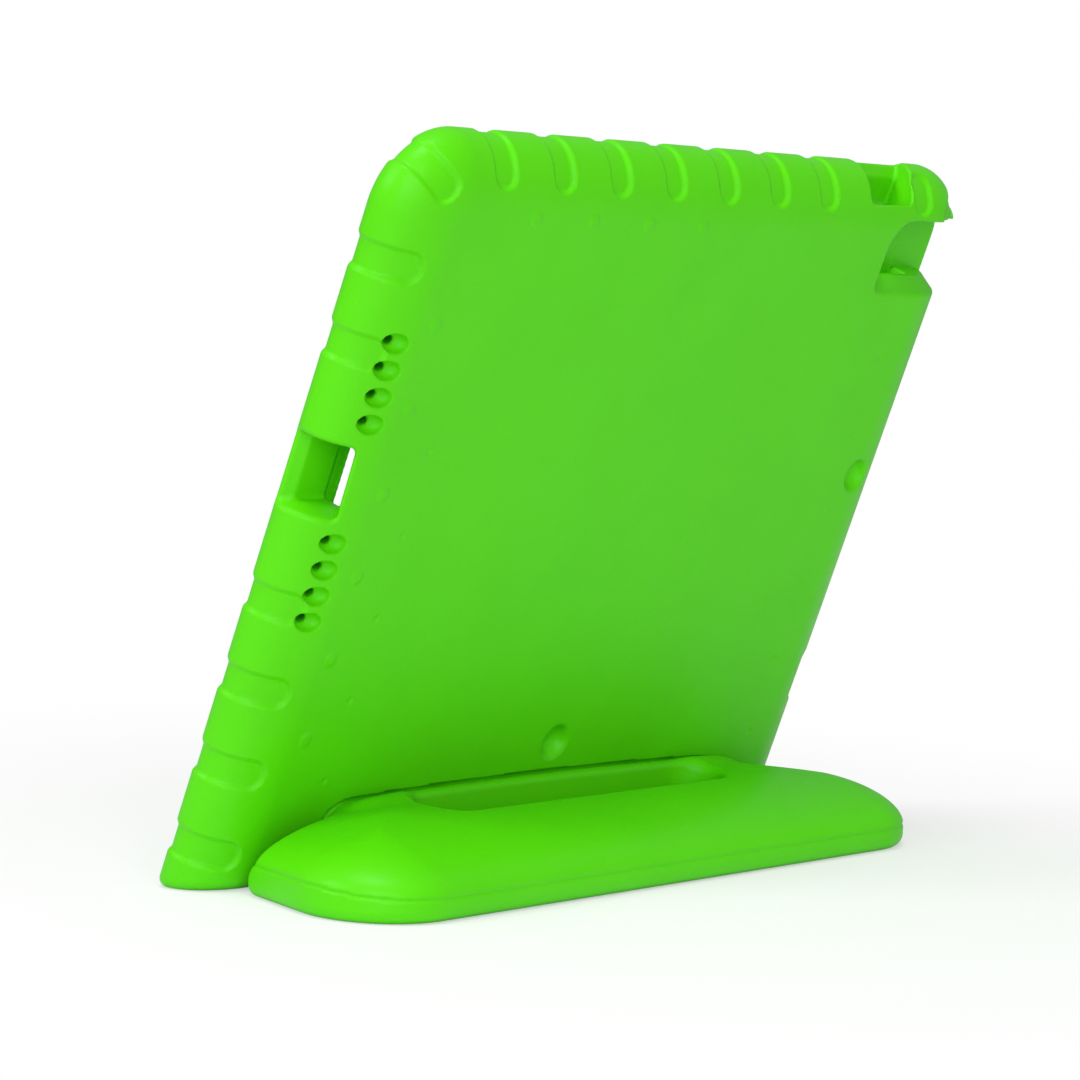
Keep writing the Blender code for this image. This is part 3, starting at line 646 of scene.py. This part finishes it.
def surface_net(start, values):
    """Quads round every grid edge that the surface crosses, one point in every crossed cell."""
    inside = values < 0
    cells = tuple(n - 1 for n in values.shape)
    corners = [(i, j, k) for i in (0, 1) for j in (0, 1) for k in (0, 1)]
    count = np.zeros(cells, np.uint8)
    for i, j, k in corners:
        count += inside[i:i + cells[0], j:j + cells[1], k:k + cells[2]]
    crossed = np.nonzero((count > 0) & (count < len(corners)))
    number = np.full(cells, -1, np.int32)
    number[crossed] = np.arange(len(crossed[0]))
    base = np.stack(crossed, 1)
    total = np.zeros((len(base), 3))
    crossings = np.zeros(len(base))
    for corner in corners:
        for axis in range(3):
            if corner[axis]:
                continue
            near = base + corner
            far = near.copy()
            far[:, axis] += 1
            a = values[tuple(near.T)]
            b = values[tuple(far.T)]
            hit = (a < 0) != (b < 0)
            point = near[hit].astype(float)
            point[:, axis] += a[hit] / (a[hit] - b[hit])
            total[hit] += point
            crossings[hit] += 1
    points = start + GRID_STEP * total / crossings[:, None]
    quads = []
    for axis in range(3):
        one, two = (axis + 1) % 3, (axis + 2) % 3
        low = [slice(1, n - 1) for n in values.shape]
        low[axis] = slice(0, values.shape[axis] - 1)
        high = list(low)
        high[axis] = slice(1, values.shape[axis])
        starts_in = inside[tuple(low)]
        changes = np.nonzero(starts_in != inside[tuple(high)])
        outward = starts_in[changes]
        edge = np.stack(changes, 1)
        edge[:, one] += 1
        edge[:, two] += 1
        ring = []
        for a, b in ((-1, -1), (0, -1), (0, 0), (-1, 0)):
            cell = edge.copy()
            cell[:, one] += a
            cell[:, two] += b
            ring.append(number[tuple(cell.T)])
        ring = np.stack(ring, 1)
        ring[~outward] = ring[~outward][:, ::-1]
        quads.append(ring)
    return points, np.concatenate(quads)


def gradient(points):
    """The field's slope at each point, by central differences."""
    slope = np.empty_like(points)
    for axis in range(3):
        step = np.zeros(3)
        step[axis] = PROBE
        ahead, behind = points + step, points - step
        slope[:, axis] = (moulding(*ahead.T) - moulding(*behind.T)) / (2 * PROBE)
    return slope


def polish(points, steps):
    """Move points onto the surface, along the field's slope."""
    for _ in range(steps):
        slope = gradient(points)
        steep = np.maximum((slope ** 2).sum(1), LEAST_STEEPNESS)
        move = -(moulding(*points.T) / steep)[:, None] * slope
        size = np.linalg.norm(move, axis=1)[:, None]
        points = points + move * np.minimum(1, LONGEST_MOVE / np.maximum(size, 1e-9))
    return points


def mesh_of(name, points, faces):
    """Mesh from points in millimetres and faces that have equally many corners."""
    mesh = bpy.data.meshes.new(name)
    mesh.vertices.add(len(points))
    mesh.vertices.foreach_set("co", (points * MILLIMETRE).astype(np.float32).ravel())
    corners = faces.shape[1]
    mesh.loops.add(faces.size)
    mesh.loops.foreach_set("vertex_index", faces.astype(np.int32).ravel())
    mesh.polygons.add(len(faces))
    mesh.polygons.foreach_set("loop_start", np.arange(len(faces), dtype=np.int32) * corners)
    mesh.update(calc_edges=True)
    mesh.validate()
    return mesh


def thinned(mesh, budget):
    """A copy with few triangles where it is flat."""
    item = bpy.data.objects.new("thinning", mesh)
    bpy.context.scene.collection.objects.link(item)
    change = item.modifiers.new("thin", "DECIMATE")
    change.ratio = budget / (2 * len(mesh.polygons))
    item.modifiers.new("triangles", "TRIANGULATE")
    shaped = item.evaluated_get(bpy.context.evaluated_depsgraph_get())
    result = bpy.data.meshes.new_from_object(shaped)
    bpy.data.objects.remove(item)
    bpy.data.meshes.remove(mesh)
    return result


def read_points(mesh):
    """The mesh's points in millimetres."""
    flat = np.empty(len(mesh.vertices) * 3, np.float32)
    mesh.vertices.foreach_get("co", flat)
    return flat.reshape(-1, 3).astype(float) * METRE


def set_normals(mesh, points):
    """Shade by the field's slope, and by the face where a vertex borders a large flat one."""
    triangles = np.empty(len(mesh.loops), np.int32)
    mesh.loops.foreach_get("vertex_index", triangles)
    triangles = triangles.reshape(-1, 3)
    a, b, c = (points[triangles[:, i]] for i in range(3))
    crosses = np.cross(b - a, c - a)
    areas = np.linalg.norm(crosses, axis=1) / 2
    by_face = np.zeros_like(points)
    largest = np.zeros(len(points))
    for i in range(3):
        np.add.at(by_face, triangles[:, i], crosses * areas[:, None])
        np.maximum.at(largest, triangles[:, i], areas)
    by_face /= np.maximum(np.linalg.norm(by_face, axis=1), 1e-12)[:, None]
    by_field = gradient(points)
    by_field /= np.maximum(np.linalg.norm(by_field, axis=1), 1e-12)[:, None]
    flat = smooth_step((largest - FLAT_AREA) / FLAT_AREA_SPAN)[:, None]
    normals = by_field * (1 - flat) + by_face * flat
    normals /= np.maximum(np.linalg.norm(normals, axis=1), 1e-12)[:, None]
    mesh.shade_smooth()
    mesh.normals_split_custom_set_from_vertices(normals.astype(np.float32))


def case_piece():
    """The moulding as one mesh, which stands for the plain solid."""
    points, faces = surface_net(*sample_grid())
    points = polish(points, 1)
    mesh = thinned(mesh_of("moulded_case", points, faces), TRIANGLE_BUDGET)
    points = polish(read_points(mesh), POLISH_STEPS)
    mesh.vertices.foreach_set("co", (points * MILLIMETRE).astype(np.float32).ravel())
    mesh.update()
    set_normals(mesh, points)
    piece = bpy.data.objects.new("moulded_case", mesh)
    bpy.context.scene.collection.objects.link(piece)
    mesh.materials.append(foam_material())
    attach(piece, "root")
    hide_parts("case")


def noise(tree, place, scale, detail):
    """Noise over the object's own coordinates."""
    made = tree.nodes.new("ShaderNodeTexNoise")
    made.inputs["Scale"].default_value = scale
    made.inputs["Detail"].default_value = detail
    tree.links.new(place, made.inputs["Vector"])
    return made.outputs["Fac"]


def remap(tree, source, low, high):
    """Spread a noise's middle half over a range."""
    made = tree.nodes.new("ShaderNodeMapRange")
    for name, value in (("From Min", 0.3), ("From Max", 0.7), ("To Min", low), ("To Max", high)):
        made.inputs[name].default_value = value
    tree.links.new(source, made.inputs["Value"])
    return made.outputs["Result"]


def foam_material():
    """Closed-cell foam: saturated green, satin skin with a fine grain and soft mottling."""
    foam = bpy.data.materials.new("green_foam")
    foam.use_nodes = True
    tree = foam.node_tree
    shader = tree.nodes["Principled BSDF"]
    place = tree.nodes.new("ShaderNodeTexCoord").outputs["Object"]
    mottle = remap(tree, noise(tree, place, MOTTLE_SCALE, 3.0), 0.0, 1.0)
    fleck = remap(tree, noise(tree, place, FLECK_SCALE, 2.0), 0.0, 1.0)
    blend = tree.nodes.new("ShaderNodeMath")
    blend.operation = "MULTIPLY_ADD"
    tree.links.new(fleck, blend.inputs[0])
    blend.inputs[1].default_value = FLECK_SHARE
    tree.links.new(mottle, blend.inputs[2])
    colour = tree.nodes.new("ShaderNodeMix")
    colour.data_type = "RGBA"
    colour.inputs["A"].default_value = FOAM_DARK
    colour.inputs["B"].default_value = FOAM_LIGHT
    shader.inputs["Specular IOR Level"].default_value = FOAM_SPECULAR
    tree.links.new(blend.outputs[0], colour.inputs["Factor"])
    tree.links.new(colour.outputs["Result"], shader.inputs["Base Color"])
    gloss = remap(tree, noise(tree, place, GLOSS_SCALE, 4.0), *FOAM_ROUGHNESS)
    tree.links.new(gloss, shader.inputs["Roughness"])
    grain = tree.nodes.new("ShaderNodeBump")
    grain.inputs["Strength"].default_value = GRAIN_STRENGTH
    grain.inputs["Distance"].default_value = GRAIN_METRES
    tree.links.new(noise(tree, place, GRAIN_SCALE, 3.0), grain.inputs["Height"])
    swell = tree.nodes.new("ShaderNodeBump")
    swell.inputs["Strength"].default_value = SWELL_STRENGTH
    swell.inputs["Distance"].default_value = SWELL_METRES
    tree.links.new(noise(tree, place, SWELL_SCALE, 2.0), swell.inputs["Height"])
    tree.links.new(grain.outputs["Normal"], swell.inputs["Normal"])
    tree.links.new(swell.outputs["Normal"], shader.inputs["Normal"])
    return foam


def camera_ray_mix(tree, seen, unseen, output):
    """Show one shader to the camera and light the object with another."""
    path = tree.nodes.new("ShaderNodeLightPath")
    mix = tree.nodes.new("ShaderNodeMixShader")
    tree.links.new(path.outputs["Is Camera Ray"], mix.inputs["Fac"])
    tree.links.new(unseen, mix.inputs[1])
    tree.links.new(seen, mix.inputs[2])
    tree.links.new(mix.outputs["Shader"], output)


def studio_floor():
    """Pale floor that keeps the shadow near the object and melts into the backdrop."""
    bpy.ops.mesh.primitive_circle_add(vertices=96, radius=FLOOR_RADIUS, fill_type="NGON")
    floor = bpy.context.object
    floor.name = "studio_floor"
    paint = bpy.data.materials.new("pale_floor")
    paint.use_nodes = True
    tree = paint.node_tree
    tree.nodes.remove(tree.nodes["Principled BSDF"])
    output = tree.nodes["Material Output"].inputs["Surface"]
    matt = tree.nodes.new("ShaderNodeBsdfDiffuse")
    matt.inputs["Color"].default_value = FLOOR_PAINT
    glow = tree.nodes.new("ShaderNodeEmission")
    glow.inputs["Color"].default_value = BACKDROP
    place = tree.nodes.new("ShaderNodeNewGeometry")
    far = tree.nodes.new("ShaderNodeVectorMath")
    far.operation = "LENGTH"
    tree.links.new(place.outputs["Position"], far.inputs[0])
    fade = tree.nodes.new("ShaderNodeMapRange")
    fade.interpolation_type = "SMOOTHSTEP"
    fade.inputs["From Min"].default_value = FLOOR_FADE_FROM
    fade.inputs["From Max"].default_value = FLOOR_FADE_TO
    fade.inputs["To Min"].default_value = FLOOR_LEAST_GLOW
    tree.links.new(far.outputs["Value"], fade.inputs["Value"])
    seen = tree.nodes.new("ShaderNodeMixShader")
    tree.links.new(fade.outputs["Result"], seen.inputs["Fac"])
    tree.links.new(matt.outputs["BSDF"], seen.inputs[1])
    tree.links.new(glow.outputs["Emission"], seen.inputs[2])
    camera_ray_mix(tree, seen.outputs["Shader"], matt.outputs["BSDF"], output)
    floor.data.materials.append(paint)


def studio_world():
    """White backdrop for the camera, softer sky for the light."""
    world = bpy.data.worlds.new("studio")
    bpy.context.scene.world = world
    world.use_nodes = True
    tree = world.node_tree
    seen = tree.nodes["Background"]
    seen.inputs["Color"].default_value = BACKDROP
    unseen = tree.nodes.new("ShaderNodeBackground")
    unseen.inputs["Color"].default_value = SKY_LIGHT
    output = tree.nodes["World Output"].inputs["Surface"]
    camera_ray_mix(tree, seen.outputs["Background"], unseen.outputs["Background"], output)


def photo_camera():
    """The camera's axes as (right, up, forward), and its place in millimetres."""
    a, e = CAMERA_HEADING, CAMERA_DOWN
    forward = Vector((math.sin(a) * math.cos(e), math.cos(a) * math.cos(e), -math.sin(e)))
    level = Vector((math.cos(a), -math.sin(a), 0.0))
    above = level.cross(forward)
    right = level * math.cos(CAMERA_ROLL) + above * math.sin(CAMERA_ROLL)
    up = above * math.cos(CAMERA_ROLL) - level * math.sin(CAMERA_ROLL)
    place = (Vector(CAMERA_AIM) - forward * CAMERA_DISTANCE + right * CAMERA_SIDESTEP
             + up * CAMERA_LIFT)
    return right, up, forward, place


def add_camera():
    """Put the photograph's camera in the scene."""
    right, up, forward, place = photo_camera()
    data = bpy.data.cameras.new("photo_camera")
    data.sensor_width = SENSOR_WIDTH
    data.lens = FOCAL_LENGTH
    data.clip_start, data.clip_end = CLIP_METRES
    camera = bpy.data.objects.new("photo_camera", data)
    bpy.context.scene.collection.objects.link(camera)
    turn = Matrix((right, up, -forward)).transposed()
    camera.matrix_world = Matrix.Translation(place * MILLIMETRE) @ turn.to_4x4()
    bpy.context.scene.camera = camera


def soft_box(name, side, height, ahead, size, power):
    """Square lamp aimed at the case, so far right of it, above it and towards the camera."""
    right, _, forward, _ = photo_camera()
    flat = Vector((forward.x, forward.y, 0.0)).normalized()
    level = Vector((right.x, right.y, 0.0)).normalized()
    data = bpy.data.lights.new(name, "AREA")
    data.size = size
    data.energy = power
    lamp = bpy.data.objects.new(name, data)
    bpy.context.scene.collection.objects.link(lamp)
    lamp.location = level * side - flat * ahead + Vector((0.0, 0.0, height))
    aim = Vector((0.0, 0.0, LAMP_AIM_HEIGHT)) - lamp.location
    lamp.rotation_mode = "QUATERNION"
    lamp.rotation_quaternion = aim.to_track_quat("-Z", "Y")


def studio_lights():
    """Key from the left, broad fill from behind the camera, and a lamp overhead."""
    soft_box("key_light", side=-1.5, height=1.3, ahead=1.0, size=0.5, power=12.5)
    soft_box("fill_light", side=0.2, height=0.9, ahead=2.2, size=1.5, power=27.5)
    soft_box("top_light", side=-0.1, height=2.0, ahead=0.5, size=0.7, power=15.0)


case_piece()
studio_floor()
studio_world()
add_camera()
studio_lights()
bpy.context.scene.view_settings.view_transform = "Standard"
